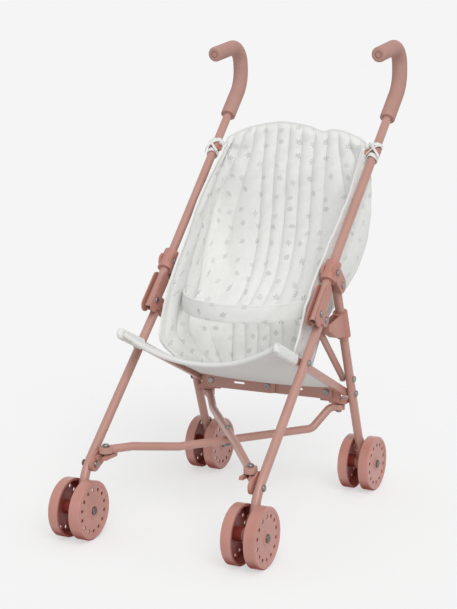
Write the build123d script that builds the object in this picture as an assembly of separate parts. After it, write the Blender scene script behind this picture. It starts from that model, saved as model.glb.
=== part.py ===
from build123d import *
import math
import os

# Doll stroller with an umbrella fold. Millimetres, X across, Y to the rear, Z up, ground at Z = 0.
# Places in a side view are (Y, Z) pairs.

# Frame tubes and their side plane
SIDE_X = 110.0
TUBE_D = 11.0
TUBE_WALL = 1.2
FIT = 0.05
GAP = 0.3

# Wheels, two to each leg
FRONT_HUB_Y = -214.0
REAR_HUB_Y = 116.0
WHEEL_R = 34.5
WHEEL_W = 13.0
WHEEL_HALF_TRACK = 14.2
WHEEL_RIM = 3.0
WHEEL_DISC = 2.6
WHEEL_RECESS = 1.0
WHEEL_EDGE = 1.5
WHEEL_BOSS_R = 8.0
WHEEL_HOLES = 14
WHEEL_HOLE_D = 4.6
WHEEL_HOLE_CIRCLE_R = 24.5
AXLE_D = 5.0
AXLE_CAP_R = 5.0
AXLE_CAP_H = 1.6
HUB_BLOCK_R = 8.5
HUB_SOCKET_WALL = 1.7
HUB_SOCKET_L = 22.0
LEG_END_LIFT = 7.0

# Side view of the legs and the push tube
LEG_BEND = (-196.0, 79.0)
LEG_BEND_R = 60.0
LEG_TOP = (-25.0, 243.0)
REAR_PIVOT = (21.0, 278.0)
PUSH_END = (-47.8, 244.1)
PUSH_SLOPE = 45.2
PUSH_LEAN_X = 4.0
PUSH_STRAIGHT_L = 100.0
PUSH_L = 378.0
HOOK_RISE_L = 50.9
HOOK_RISE_SLOPE = 95.1
HOOK_REACH_L = 76.0
HOOK_REACH_SLOPE = 189.8
HOOK_LOW_R = 42.0
HOOK_TOP_R = 23.5
LEAN_R = 400.0
END_STICK_OUT = 7.0

# Grips
GRIP_D = 19.5
GRIP_L = 60.0
GRIP_TUBE_STOP = 6.0
GRIP_END_R = 3.0
GRIP_LIP_R = 1.2
GRIP_RING_D = 9.0
GRIP_RING_W = 1.2
GRIP_RING_DEPTH = 1.0

# Joint plates, clamp, latch and flat bars
PLATE = 1.6
JOINT_R = 8.5
JOINT_L = 44.0
JOINT_PIN_IN = 12.0
CLAMP_D = 19.0
CLAMP_L = 27.0
CLAMP_EAR_R = 9.5
CLAMP_EAR = 3.2
LATCH_D = 18.0
LATCH_L = 34.0
LATCH_Z = 227.0
LATCH_WING_W = 12.0
LATCH_WALL = 1.8
LATCH_REACH = 47.0
LATCH_TIP_DROP = 8.5
LATCH_TIP_H = 7.0
LATCH_BELLY = 28.0
LATCH_BELLY_DROP = 13.0
RAIL_H = 9.0
RAIL_T = 5.4
RAIL_GROOVE = 1.4
RAIL_GROOVE_H = 4.6
RAIL_REAR_Z = 133.0
RAIL_FRONT_L = 64.0
RAIL_PIVOT_Y = -70.3
STRUT_H = 9.0
STRUT_T = 3.6
STRUT_REAR_Z = 153.0

# Rivets
RIVET_D = 4.0
RIVET_HEAD_D = 8.0
RIVET_HEAD_H = 1.8
RIVET_HEAD_ROUND = 1.26
DRILL_REACH = 40.0

# Cross tubes under the seat
CROSS_D = 10.0
CROSS_REAR = (92.0, 78.0)
CROSS_FRONT = (93.5, -180.0)
CROSS_EYE_R = 8.0
CROSS_EYE_T = 7.0
CROSS_EYE_LAP = 4.0
CROSS_REAR_Z = 114.0
CROSS_FRONT_Z = 98.0
CROSS_UPPER_Z = 101.0
CROSS_LOWER_Z = 90.0
CROSS_PIN_D = 5.0
CROSS_STUB = 13.0
CROSS_DROP = 26.0
CROSS_RISE = 60.0
CROSS_TAIL = 34.0
CROSS_BEND_R = 14.0

# Brackets that carry the cross tubes
SHELF_T = 5.0
SHELF_Y = (70.5, 92.0)
SHELF_X = 82.0
CHEEK_X = (71.0, 97.0)
CHEEK_TOP = 145.0
CHEEK_T = 4.6
CHEEK_R = 4.0
JAW_L = 26.0
JAW_T = 4.0
JAW_WEB = 4.5
JAW_SLOT_ROOM = 0.8
JAW_PIN_BELOW = 12.0

# Folding spreader between the rear legs
SPREADER_PIN = (80.0, 134.0)
SPREADER_H = 18.0
SPREADER_T = 2.8
SPREADER_FRONT_Y = 62.0
SPREADER_LAP = 11.0
SPREADER_END = 8.0
SPREADER_SLOT_L = 16.0
SPREADER_SLOT_W = 3.0

# Fabric seat
SEAT_T = 7.0
SEAT_SAG = 26.0
SEAT_REAR_Y = 46.0
BACK_CHANNELS = 7
BACK_GROOVE = 2.6
BACK_CORNER = 22.0
BACK_LEVELS = (
    # height, half width, front edge of the wings, face of the back
    (152.0, 84.0, 34.0, 58.0),
    (205.0, 93.0, -38.0, 84.0),
    (262.0, 96.0, -20.0, 106.0),
    (312.0, 98.0, 24.0, 122.0),
    (372.0, 103.0, 80.0, 134.0),
    (436.0, 97.0, 134.0, 148.0),
    (462.0, 78.0, 140.0, 152.0),
)
BELT_H = 22.0
BELT_T = 2.4
BELT_Z = 240.0
BELT_END_Y = 6.0
BELT_BOW = 66.0
TIE_W = 9.0
TIE_T = 2.0
HANGER_W = 9.0
HANGER_WALL = 2.0
HANGER_TAB_T = 3.6

HUB_Z = WHEEL_R
TUBE_R = TUBE_D / 2
TUBE_BORE = TUBE_D - 2 * TUBE_WALL
INNER_FACE = SIDE_X - TUBE_R
RIVET_HOLE_R = RIVET_D / 2 + FIT


def unit(angle):
    """Side view direction of a slope in degrees."""
    return (math.cos(math.radians(angle)), math.sin(math.radians(angle)))


def along(start, direction, length):
    """Side view point a length from start."""
    return (start[0] + direction[0] * length, start[1] + direction[1] * length)


def heading(start, end):
    """Side view direction from start to end, and their distance."""
    length = math.dist(start, end)
    return ((end[0] - start[0]) / length, (end[1] - start[1]) / length), length


FRONT_HUB = (FRONT_HUB_Y, HUB_Z)
REAR_HUB = (REAR_HUB_Y, HUB_Z)
FOOT_UP, FOOT_L = heading(FRONT_HUB, LEG_BEND)
LEG_UP, LEG_L = heading(LEG_BEND, LEG_TOP)
REAR_UP, REAR_L = heading(REAR_HUB, REAR_PIVOT)
PUSH_UP = unit(PUSH_SLOPE)
HOOK_LOW = along(PUSH_END, PUSH_UP, PUSH_L)
HOOK_BACK = along(HOOK_LOW, unit(HOOK_RISE_SLOPE), HOOK_RISE_L)
HOOK_END = along(HOOK_BACK, unit(HOOK_REACH_SLOPE), HOOK_REACH_L)
PUSH_PIN = along(PUSH_END, PUSH_UP, JOINT_PIN_IN)
PIVOT_REACH = (REAR_PIVOT[0] - PUSH_END[0]) * PUSH_UP[0] + (REAR_PIVOT[1] - PUSH_END[1]) * PUSH_UP[1]
CLAMP_PIN = along(PUSH_END, PUSH_UP, PIVOT_REACH)


def rear_leg_at(z):
    """Side view point of the rear leg's axis at a height."""
    return along(REAR_HUB, REAR_UP, (z - HUB_Z) / REAR_UP[1])


def front_leg_at(y):
    """Side view point of the front leg's axis at a distance."""
    return along(LEG_BEND, LEG_UP, (y - LEG_BEND[0]) / LEG_UP[0])


def back_half(z):
    """Half width of the seat back at a height."""
    for low, high in zip(BACK_LEVELS, BACK_LEVELS[1:]):
        if z <= high[0]:
            break
    return low[1] + (high[1] - low[1]) * (z - low[0]) / (high[0] - low[0])


RAIL_REAR = rear_leg_at(RAIL_REAR_Z)
RAIL_PIVOT = front_leg_at(RAIL_PIVOT_Y)
RAIL_FORWARD, RAIL_SPAN = heading(RAIL_REAR, RAIL_PIVOT)
RAIL_TIP = along(RAIL_PIVOT, RAIL_FORWARD, RAIL_FRONT_L)
STRUT_REAR = rear_leg_at(STRUT_REAR_Z)
JAW_PIN = front_leg_at(CROSS_FRONT[1] - JAW_PIN_BELOW)
BELT_HALF = back_half(BELT_Z) - SEAT_T - FIT
BACK_CORNER_Z = BACK_LEVELS[-2][0]
TIE_ALONG = (BACK_CORNER_Z - PUSH_END[1]) / PUSH_UP[1] - TIE_W / 2
HANGER_ALONG = TIE_ALONG - GAP - HANGER_W


def at(x, point):
    """Point in space from a place across and a side view point."""
    return Vector(x, point[0], point[1])


def rod_x(x_from, x_to, point, radius):
    """Round bar across the stroller."""
    return Pos(at((x_from + x_to) / 2, point)) * Rot(0, 90, 0) * Cylinder(radius, abs(x_to - x_from))


def rod_between(start, end, radius):
    """Round bar from one point in space to another."""
    axis = end - start
    return Plane(origin=start, z_dir=axis) * Cylinder(
        radius, axis.length, align=(Align.CENTER, Align.CENTER, Align.MIN)
    )


def bent_tube(points, radii, outer_d, bore_d):
    """Tube along straight runs joined by tangent arcs."""
    path = FilletPolyline(*points, radius=radii) if radii else Polyline(*points)
    ring = Circle(outer_d / 2) - Circle(bore_d / 2) if bore_d else Circle(outer_d / 2)
    return sweep(Plane(origin=points[0], z_dir=points[1] - points[0]) * ring, path)


def strip_face(start, end, height):
    """Round-ended strip in a side view."""
    direction, length = heading(start, end)
    middle = along(start, direction, length / 2)
    turn = math.degrees(math.atan2(direction[1], direction[0]))
    return Pos(*middle) * Rot(0, 0, turn) * SlotCenterToCenter(length, height)


def side_plate(face, x_from, x_to):
    """Side view face given a thickness across the stroller."""
    return extrude(Plane.YZ.offset(min(x_from, x_to)) * face, abs(x_to - x_from))


def drill(shape, points):
    """Rivet holes across a shape."""
    for point in points:
        shape -= rod_x(SIDE_X - DRILL_REACH, SIDE_X + DRILL_REACH, point, RIVET_HOLE_R)
    return shape


def rivet(x_from, x_to, point):
    """Rivet across the stroller with a domed head at each end."""
    body = rod_x(x_from, x_to, point, RIVET_D / 2)
    for x, outward in ((x_from, -1), (x_to, 1)):
        head = rod_x(x, x + outward * RIVET_HEAD_H, point, RIVET_HEAD_D / 2)
        rim = head.faces().sort_by(Axis.X)[0 if outward < 0 else -1].edges()
        body += fillet(rim, RIVET_HEAD_ROUND)
    return body


def push_path():
    """Line of the push tube from its lower end to the end of the hook."""
    knee = along(PUSH_END, PUSH_UP, PUSH_STRAIGHT_L)
    out = SIDE_X + PUSH_LEAN_X
    points = [at(SIDE_X, PUSH_END), at(SIDE_X, knee)]
    points += [at(out, HOOK_LOW), at(out, HOOK_BACK), at(out, HOOK_END)]
    return points, [LEAN_R, HOOK_LOW_R, HOOK_TOP_R]


def push_tube():
    points, radii = push_path()
    short = points[-1] - (points[-1] - points[-2]).normalized() * GRIP_TUBE_STOP
    tube = bent_tube(points[:-1] + [short], radii, TUBE_D, TUBE_BORE)
    return drill(tube, [PUSH_PIN, CLAMP_PIN])


def push_stretch(distance, length):
    """Two points on the leaning run of the push tube, the first at a distance from its lower end."""
    points, _ = push_path()
    lean = (points[2] - points[1]).normalized()
    start = points[1] + lean * (distance - PUSH_STRAIGHT_L)
    return start, start + lean * length


def grip():
    """Foam sleeve over the hook, closed by a flat end with a pressed ring."""
    points, radii = push_path()
    start = points[2] - (points[2] - points[1]).normalized() * GRIP_L
    route = [start] + points[2:]
    outward = (points[-1] - points[-2]).normalized()
    sleeve = bent_tube(route, radii[1:], GRIP_D, 0)
    sleeve = fillet(sleeve.faces().sort_by_distance(points[-1])[0].edges(), GRIP_END_R)
    sleeve = fillet(sleeve.faces().sort_by_distance(start)[0].edges(), GRIP_LIP_R)
    ring = Cylinder(GRIP_RING_D / 2, 2 * GRIP_RING_DEPTH)
    ring -= Cylinder(GRIP_RING_D / 2 - GRIP_RING_W, 2 * GRIP_RING_DEPTH)
    sleeve -= Plane(origin=points[-1], z_dir=outward) * ring
    short = points[-1] - outward * GRIP_TUBE_STOP
    return sleeve - bent_tube(route[:-1] + [short], radii[1:], TUBE_D + 2 * FIT, 0)


def front_leg():
    foot = along(FRONT_HUB, FOOT_UP, LEG_END_LIFT)
    top = along(LEG_TOP, LEG_UP, END_STICK_OUT)
    points = [at(SIDE_X, foot), at(SIDE_X, LEG_BEND), at(SIDE_X, top)]
    return drill(bent_tube(points, [LEG_BEND_R], TUBE_D, TUBE_BORE), [LEG_TOP, RAIL_PIVOT, JAW_PIN])


def rear_leg():
    foot = along(REAR_HUB, REAR_UP, LEG_END_LIFT)
    top = along(REAR_PIVOT, REAR_UP, END_STICK_OUT)
    tube = bent_tube([at(SIDE_X, foot), at(SIDE_X, top)], [], TUBE_D, TUBE_BORE)
    return drill(tube, [REAR_PIVOT, RAIL_REAR, STRUT_REAR])


def hub_block(hub, upward):
    """Moulded foot that joins a leg to its axle."""
    half = WHEEL_HALF_TRACK - WHEEL_W / 2 - GAP
    centre = at(SIDE_X, hub)
    top = at(SIDE_X, along(hub, upward, HUB_SOCKET_L))
    seat = at(SIDE_X, along(hub, upward, LEG_END_LIFT))
    block = rod_x(SIDE_X - half, SIDE_X + half, hub, HUB_BLOCK_R)
    block += rod_between(centre, top, TUBE_R + HUB_SOCKET_WALL)
    block -= rod_between(seat, top, TUBE_R + FIT)
    return block - rod_x(SIDE_X - DRILL_REACH, SIDE_X + DRILL_REACH, hub, AXLE_D / 2 + FIT)


def joint_bracket():
    """Channel, open to the front, that joins the push tube's lower end to the top of the front leg."""
    foot = along(PUSH_END, PUSH_UP, JOINT_R / 2)
    head = along(PUSH_END, PUSH_UP, JOINT_L)
    face = strip_face(foot, head, 2 * JOINT_R) + strip_face(PUSH_PIN, LEG_TOP, 2 * JOINT_R)
    room = TUBE_R + FIT
    bracket = side_plate(face, SIDE_X - room - PLATE, SIDE_X - room)
    bracket += side_plate(face, SIDE_X + room, SIDE_X + room + PLATE)
    rearward = (PUSH_UP[1], -PUSH_UP[0])
    web_low = along(PUSH_PIN, rearward, room + PLATE / 2)
    web_high = along(head, rearward, room + PLATE / 2)
    bracket += side_plate(strip_face(web_low, web_high, PLATE), SIDE_X - room - PLATE, SIDE_X + room + PLATE)
    return drill(bracket, [PUSH_PIN, LEG_TOP])


def clamp():
    """Moulded collar on the push tube with two ears for the rear leg."""
    low = at(SIDE_X, along(CLAMP_PIN, PUSH_UP, -CLAMP_L / 2))
    high = at(SIDE_X, along(CLAMP_PIN, PUSH_UP, CLAMP_L / 2))
    collar = rod_between(low, high, CLAMP_D / 2)
    ear_face = strip_face(CLAMP_PIN, REAR_PIVOT, 2 * CLAMP_EAR_R)
    for side in (-1, 1):
        inner = SIDE_X + side * (TUBE_R + GAP)
        collar += side_plate(ear_face, inner, inner + side * CLAMP_EAR)
    collar -= rod_between(at(SIDE_X, PUSH_END), at(SIDE_X, along(CLAMP_PIN, PUSH_UP, CLAMP_L)), TUBE_R + FIT)
    return drill(collar, [CLAMP_PIN, REAR_PIVOT])


def latch():
    """Sliding catch on the rear leg, with a hollow gusset, open above, towards the joint bracket."""
    middle = rear_leg_at(LATCH_Z)
    low = along(middle, REAR_UP, -LATCH_L / 2)
    high = along(middle, REAR_UP, LATCH_L / 2)
    tip = (high[0] - LATCH_REACH, high[1] - LATCH_TIP_DROP)
    chin = (tip[0], tip[1] - LATCH_TIP_H)
    belly = (chin[0] + LATCH_BELLY, chin[1] - LATCH_BELLY_DROP)
    gusset = side_plate(
        make_face(Polyline(high, tip, chin, belly, low, close=True)),
        SIDE_X - LATCH_WING_W / 2, SIDE_X + LATCH_WING_W / 2,
    )
    nose = (tip[0] + LATCH_WALL, high[1] + LATCH_WALL)
    inner_chin = (chin[0] + LATCH_WALL, chin[1] + LATCH_WALL)
    inner_belly = (belly[0] + LATCH_WALL, belly[1] + LATCH_WALL)
    brow = (high[0], high[1] + LATCH_WALL)
    pocket = side_plate(
        make_face(Polyline(nose, inner_chin, inner_belly, middle, brow, close=True)),
        SIDE_X - LATCH_WING_W / 2 + LATCH_WALL, SIDE_X + LATCH_WING_W / 2 - LATCH_WALL,
    )
    body = gusset - pocket + rod_between(at(SIDE_X, low), at(SIDE_X, high), LATCH_D / 2)
    return body - rod_between(at(SIDE_X, REAR_HUB), at(SIDE_X, REAR_PIVOT), TUBE_R + 2 * FIT)


def seat_rail():
    """Grooved flat rail from the rear leg, past the front leg, to the seat's front corner."""
    x_out = INNER_FACE - GAP
    rail = side_plate(strip_face(RAIL_REAR, RAIL_TIP, RAIL_H), x_out - RAIL_T, x_out)
    start = along(RAIL_REAR, RAIL_FORWARD, RAIL_H)
    stop = along(RAIL_TIP, RAIL_FORWARD, -RAIL_H)
    x_in = x_out - RAIL_T
    rail -= side_plate(strip_face(start, stop, RAIL_GROOVE_H), x_in, x_in + RAIL_GROOVE)
    return drill(rail, [RAIL_REAR, RAIL_PIVOT])


def strut():
    """Flat brace from the joint bracket down to the rear leg."""
    x_out = INNER_FACE - FIT - PLATE - GAP
    bar = side_plate(strip_face(STRUT_REAR, LEG_TOP, STRUT_H), x_out - STRUT_T, x_out)
    return drill(bar, [STRUT_REAR, LEG_TOP])


def rear_bracket():
    """Moulded bracket inside the rear leg, for a cross tube below it and a spreader bar in front."""
    shelf_low = CROSS_REAR_Z + CROSS_D / 2 + GAP
    shelf_x = (SHELF_X, INNER_FACE - GAP)
    shelf = Pos(sum(shelf_x) / 2, sum(SHELF_Y) / 2, shelf_low + SHELF_T / 2) * Box(
        shelf_x[1] - shelf_x[0], SHELF_Y[1] - SHELF_Y[0], SHELF_T
    )
    cheek_y = SPREADER_FRONT_Y + 2 * SPREADER_T + 2 * GAP
    cheek_low = shelf_low + SHELF_T / 2
    cheek = Pos(sum(CHEEK_X) / 2, cheek_y + CHEEK_T / 2, (cheek_low + CHEEK_TOP) / 2) * Box(
        CHEEK_X[1] - CHEEK_X[0], CHEEK_T, CHEEK_TOP - cheek_low
    )
    cheek = fillet(cheek.edges().filter_by(Axis.Y).group_by(Axis.Z)[-1], CHEEK_R)
    bracket = shelf + cheek
    bracket -= Pos(CROSS_REAR[0], CROSS_REAR[1], shelf_low) * Cylinder(CROSS_PIN_D / 2 + FIT, 4 * SHELF_T)
    bar_hole = Plane(origin=(SPREADER_PIN[0], cheek_y, SPREADER_PIN[1]), z_dir=(0, 1, 0))
    return bracket - bar_hole * Cylinder(RIVET_HOLE_R, 4 * CHEEK_T)


def front_bracket():
    """Moulded jaw inside the front leg, open to the front, under the end of a cross tube."""
    top = CROSS_FRONT_Z - CROSS_D / 2 - GAP
    x_in = CROSS_FRONT[0] - CROSS_EYE_R
    x_out = INNER_FACE - GAP
    y = CROSS_FRONT[1]
    shelf = Pos((x_in + x_out) / 2, y, top - JAW_T / 2) * Box(x_out - x_in, JAW_L, JAW_T)
    web_face = strip_face(JAW_PIN, (y, top - JAW_T), 2 * JAW_L / 3)
    web_room = CROSS_FRONT[0] + CROSS_PIN_D
    jaw = shelf + side_plate(web_face, max(x_out - JAW_WEB, web_room), x_out)
    slot_w = CROSS_PIN_D + 2 * JAW_SLOT_ROOM
    slot = Pos(CROSS_FRONT[0], y - JAW_L / 2, top - JAW_T / 2) * Box(slot_w, JAW_L, 2 * JAW_T)
    slot += Pos(CROSS_FRONT[0], y, top - JAW_T / 2) * Cylinder(slot_w / 2, 2 * JAW_T)
    eye_room = CROSS_EYE_R + 2 * GAP
    way_out = Pos(CROSS_FRONT[0], y + eye_room, top) * Box(
        2 * eye_room, 2 * JAW_L, 2 * CROSS_D, align=(Align.CENTER, Align.MAX, Align.MIN)
    )
    return drill(jaw - slot - way_out, [JAW_PIN])


def cross_tube(run_z):
    """Bent tube from the left rear bracket to the right front jaw, with a flat eye at each end."""
    start = Vector(-CROSS_REAR[0], CROSS_REAR[1], 0)
    end = Vector(CROSS_FRONT[0], CROSS_FRONT[1], 0)
    length = (end - start).length
    forward = (end - start).normalized()
    stations = (
        (CROSS_EYE_LAP, CROSS_REAR_Z),
        (CROSS_STUB, CROSS_REAR_Z),
        (CROSS_STUB + CROSS_DROP, run_z),
        (length - CROSS_TAIL - CROSS_RISE, run_z),
        (length - CROSS_TAIL, CROSS_FRONT_Z),
        (length - CROSS_EYE_LAP, CROSS_FRONT_Z),
    )
    points = [start + forward * s + Vector(0, 0, z) for s, z in stations]
    tube = bent_tube(points, [CROSS_BEND_R] * 4, CROSS_D, 0)
    for point in (start + Vector(0, 0, CROSS_REAR_Z), end + Vector(0, 0, CROSS_FRONT_Z)):
        tube += Pos(point) * Cylinder(CROSS_EYE_R, CROSS_EYE_T)
        tube -= Pos(point) * Cylinder(CROSS_PIN_D / 2 + FIT, 2 * CROSS_D)
    centre = cross_centre()
    return tube - Pos(centre.X, centre.Y, run_z) * Cylinder(CROSS_PIN_D / 2 + FIT, 2 * CROSS_D)


def cross_centre():
    """Place in plan where the two cross tubes meet."""
    share = CROSS_REAR[0] / (CROSS_REAR[0] + CROSS_FRONT[0])
    return Vector(0, CROSS_REAR[1] + share * (CROSS_FRONT[1] - CROSS_REAR[1]), 0)


def upright_pin(place, z_low, z_high):
    """Vertical rivet with a domed head above and below."""
    pin = Pos(place.X, place.Y, (z_low + z_high) / 2) * Cylinder(CROSS_PIN_D / 2, z_high - z_low)
    for z, outward in ((z_low, -1), (z_high, 1)):
        head_z = z + outward * RIVET_HEAD_H / 2
        head = Pos(place.X, place.Y, head_z) * Cylinder(RIVET_HEAD_D / 2, RIVET_HEAD_H)
        rim = head.faces().sort_by(Axis.Z)[0 if outward < 0 else -1].edges()
        pin += fillet(rim, RIVET_HEAD_ROUND)
    return pin


def spreader_bar(side):
    """Half of the folding spreader. The left half laps in front of the right half."""
    y = SPREADER_FRONT_Y if side < 0 else SPREADER_FRONT_Y + SPREADER_T + GAP
    outer = SPREADER_PIN[0] + SPREADER_END
    length = outer + SPREADER_LAP
    middle = side * (outer - length / 2)
    bar = Pos(middle, y + SPREADER_T / 2, SPREADER_PIN[1]) * Box(length, SPREADER_T, SPREADER_H)
    bar = fillet(bar.edges().filter_by(Axis.Y), SPREADER_H / 3)
    for x in (side * SPREADER_PIN[0], 0):
        hole = Plane(origin=(x, y, SPREADER_PIN[1]), z_dir=(0, 1, 0))
        bar -= hole * Cylinder(RIVET_HOLE_R, 4 * SPREADER_T)
    slot = Plane(origin=(side * SPREADER_PIN[0] / 2, y, SPREADER_PIN[1]), x_dir=(1, 0, 0), z_dir=(0, -1, 0))
    return bar - extrude(slot * SlotOverall(SPREADER_SLOT_L, SPREADER_SLOT_W), 4 * SPREADER_T, both=True)


def rivet_y(x, y_from, y_to, z):
    """Rivet along the stroller with a domed head in front."""
    middle = Plane(origin=(x, y_from, z), z_dir=(0, 1, 0))
    pin = middle * Cylinder(RIVET_D / 2, y_to - y_from, align=(Align.CENTER, Align.CENTER, Align.MIN))
    head = middle * Cylinder(RIVET_HEAD_D / 2, RIVET_HEAD_H, align=(Align.CENTER, Align.CENTER, Align.MAX))
    return pin + fillet(head.faces().sort_by(Axis.Y)[0].edges(), RIVET_HEAD_ROUND)


def wheel():
    """Dished wheel about Z, pierced face up and hollow side down."""
    top = WHEEL_W / 2
    low = -top
    bore = AXLE_D / 2 + FIT
    floor = top - WHEEL_DISC
    dish = top - WHEEL_RECESS
    rim = WHEEL_R - WHEEL_RIM
    outline = Polyline(
        (bore, low), (WHEEL_BOSS_R, low), (WHEEL_BOSS_R, floor), (rim, floor), (rim, low), (WHEEL_R, low),
        (WHEEL_R, top - WHEEL_EDGE), (WHEEL_R - WHEEL_EDGE, top), (rim - WHEEL_EDGE, top),
        (rim - WHEEL_EDGE - WHEEL_RECESS, dish), (WHEEL_BOSS_R + WHEEL_RECESS, dish), (WHEEL_BOSS_R, top),
        (bore, top), close=True,
    )
    solid = revolve(Plane.XZ * make_face(outline), Axis.Z)
    holes = PolarLocations(WHEEL_HOLE_CIRCLE_R, WHEEL_HOLES)
    return solid - [place * Cylinder(WHEEL_HOLE_D / 2, 2 * WHEEL_W) for place in holes]


def axle(hub):
    half = WHEEL_HALF_TRACK + WHEEL_W / 2
    bar = rod_x(SIDE_X - half, SIDE_X + half, hub, AXLE_D / 2)
    for side in (-1, 1):
        x = SIDE_X + side * half
        cap = rod_x(x, x + side * AXLE_CAP_H, hub, AXLE_CAP_R)
        rim = cap.faces().sort_by(Axis.X)[0 if side < 0 else -1].edges()
        bar += fillet(rim, AXLE_CAP_H * 0.6)
    return bar


def tie():
    """Fabric loop that holds a top corner of the seat to the push tube."""
    start, end = push_stretch(TIE_ALONG, TIE_W)
    return rod_between(start, end, TUBE_R + FIT + TIE_T) - rod_between(start, end, TUBE_R + FIT)


def hanger():
    """Moulded clip on the push tube with a tab towards a top corner of the seat."""
    start, end = push_stretch(HANGER_ALONG, HANGER_W)
    low, high = push_stretch(HANGER_ALONG + HANGER_TAB_T / 2, HANGER_W - HANGER_TAB_T)
    tab_face = strip_face((low.Y, low.Z), (high.Y, high.Z), HANGER_TAB_T)
    clip = rod_between(start, end, TUBE_R + FIT + HANGER_WALL)
    clip += side_plate(tab_face, back_half(start.Z) + GAP, low.X)
    bore_low, bore_high = push_stretch(HANGER_ALONG - HANGER_W, 3 * HANGER_W)
    return clip - rod_between(bore_low, bore_high, TUBE_R + FIT)


def seat_base():
    """Sagging fabric seat slung between the rails."""
    half = INNER_FACE - GAP - RAIL_T - RIVET_HEAD_H - GAP
    rear = along(RAIL_REAR, RAIL_FORWARD, (RAIL_REAR[0] - SEAT_REAR_Y) / -RAIL_FORWARD[0])
    length = math.dist(rear, RAIL_TIP)
    across = Plane(origin=at(0, rear), x_dir=(1, 0, 0), z_dir=(0, *RAIL_FORWARD))
    upward = across.y_dir.Z
    rise = SEAT_T / 2 if upward > 0 else -SEAT_T / 2
    sag = SEAT_SAG if upward > 0 else -SEAT_SAG
    upper = ThreePointArc((-half, rise), (0, rise - sag), (half, rise))
    lower = ThreePointArc((half, -rise), (0, -rise - sag), (-half, -rise))
    edge = Line((half, rise), (half, -rise)) + Line((-half, -rise), (-half, rise))
    return extrude(across * make_face(upper + edge + lower), length)


def seat_back():
    """Channelled bucket back with a wing at each side."""
    sections = []
    for z, half, wing_y, back_y in BACK_LEVELS:
        corner = min(BACK_CORNER, (back_y - wing_y) / 2)
        inner = half - SEAT_T
        outer_line = [(-half, wing_y), (-half, back_y - corner), (corner - half, back_y)]
        inner_line = [(inner, wing_y), (inner, back_y - corner)]
        pitch = 2 * (half - corner) / BACK_CHANNELS
        for channel in range(BACK_CHANNELS):
            right = half - corner - channel * pitch
            inner_line.append((right, back_y - SEAT_T + BACK_GROOVE))
            inner_line.append((right - pitch * 0.25, back_y - SEAT_T))
            inner_line.append((right - pitch * 0.75, back_y - SEAT_T))
        inner_line.append((corner - half, back_y - SEAT_T + BACK_GROOVE))
        inner_line += [(-inner, back_y - corner), (-inner, wing_y)]
        outer_line += [(half - corner, back_y), (half, back_y - corner), (half, wing_y)]
        sections.append(Pos(0, 0, z) * make_face(Polyline(*outer_line, *inner_line, close=True)))
    return loft(sections, ruled=True)


def lap_belt():
    """Fabric belt bowed forward between the wings."""
    front_y = BELT_END_Y - BELT_BOW
    inner_half = BELT_HALF - BELT_T
    outer = ThreePointArc((-BELT_HALF, BELT_END_Y), (0, front_y), (BELT_HALF, BELT_END_Y))
    inner = ThreePointArc((inner_half, BELT_END_Y), (0, front_y + BELT_T), (-inner_half, BELT_END_Y))
    ends = Line(outer @ 1, inner @ 0) + Line(inner @ 1, outer @ 0)
    return extrude(Pos(0, 0, BELT_Z) * make_face(outer + ends + inner), BELT_H)


def side_rivets():
    """Rivets of one side frame, from the seat out through each tube."""
    plate_out = TUBE_R + FIT + PLATE
    rail_in = INNER_FACE - GAP - RAIL_T
    strut_in = INNER_FACE - FIT - PLATE - GAP - STRUT_T
    ear_out = TUBE_R + GAP + CLAMP_EAR
    jaw_in = max(INNER_FACE - GAP - JAW_WEB, CROSS_FRONT[0] + CROSS_PIN_D)
    tube_out = SIDE_X + TUBE_R
    return [
        rivet(SIDE_X - plate_out, SIDE_X + plate_out, PUSH_PIN),
        rivet(strut_in, SIDE_X + plate_out, LEG_TOP),
        rivet(strut_in, tube_out, STRUT_REAR),
        rivet(rail_in, tube_out, RAIL_REAR),
        rivet(rail_in, tube_out, RAIL_PIVOT),
        rivet(SIDE_X - ear_out, SIDE_X + ear_out, REAR_PIVOT),
        rivet(SIDE_X - CLAMP_D / 2, SIDE_X + CLAMP_D / 2, CLAMP_PIN),
        rivet(jaw_in, tube_out, JAW_PIN),
    ]


def save(shape, name):
    export_step(shape, f"parts/{name}.step")


def save_pair(shape, name):
    """Right hand piece and its mirrored left hand twin."""
    save(shape, f"{name}_right")
    save(mirror(shape, about=Plane.YZ), f"{name}_left")


os.makedirs("parts", exist_ok=True)

save_pair(push_tube(), "push_tube")
save_pair(grip(), "grip")
save_pair(front_leg(), "front_leg")
save_pair(rear_leg(), "rear_leg")
save_pair(hub_block(FRONT_HUB, FOOT_UP), "front_hub_block")
save_pair(hub_block(REAR_HUB, REAR_UP), "rear_hub_block")
save_pair(joint_bracket(), "joint_bracket")
save_pair(clamp(), "clamp")
save_pair(latch(), "latch")
save_pair(seat_rail(), "seat_rail")
save_pair(strut(), "strut")
save_pair(rear_bracket(), "rear_bracket")
save_pair(front_bracket(), "front_bracket")
save_pair(tie(), "seat_tie")
save_pair(hanger(), "seat_hanger")

right_rivets = Compound(children=side_rivets())
left_rivets = Compound(children=[mirror(piece, about=Plane.YZ) for piece in side_rivets()])
save(right_rivets, "side_rivets_right")
save(left_rivets, "side_rivets_left")

pierced_wheel = wheel()
for place, hub in (("front", FRONT_HUB), ("rear", REAR_HUB)):
    outer_wheel = Pos(at(SIDE_X + WHEEL_HALF_TRACK, hub)) * Rot(0, 90, 0) * pierced_wheel
    inner_wheel = Pos(at(SIDE_X - WHEEL_HALF_TRACK, hub)) * Rot(0, -90, 0) * pierced_wheel
    save_pair(outer_wheel, f"{place}_wheel_outer")
    save_pair(inner_wheel, f"{place}_wheel_inner")
    save_pair(axle(hub), f"{place}_axle")

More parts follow.
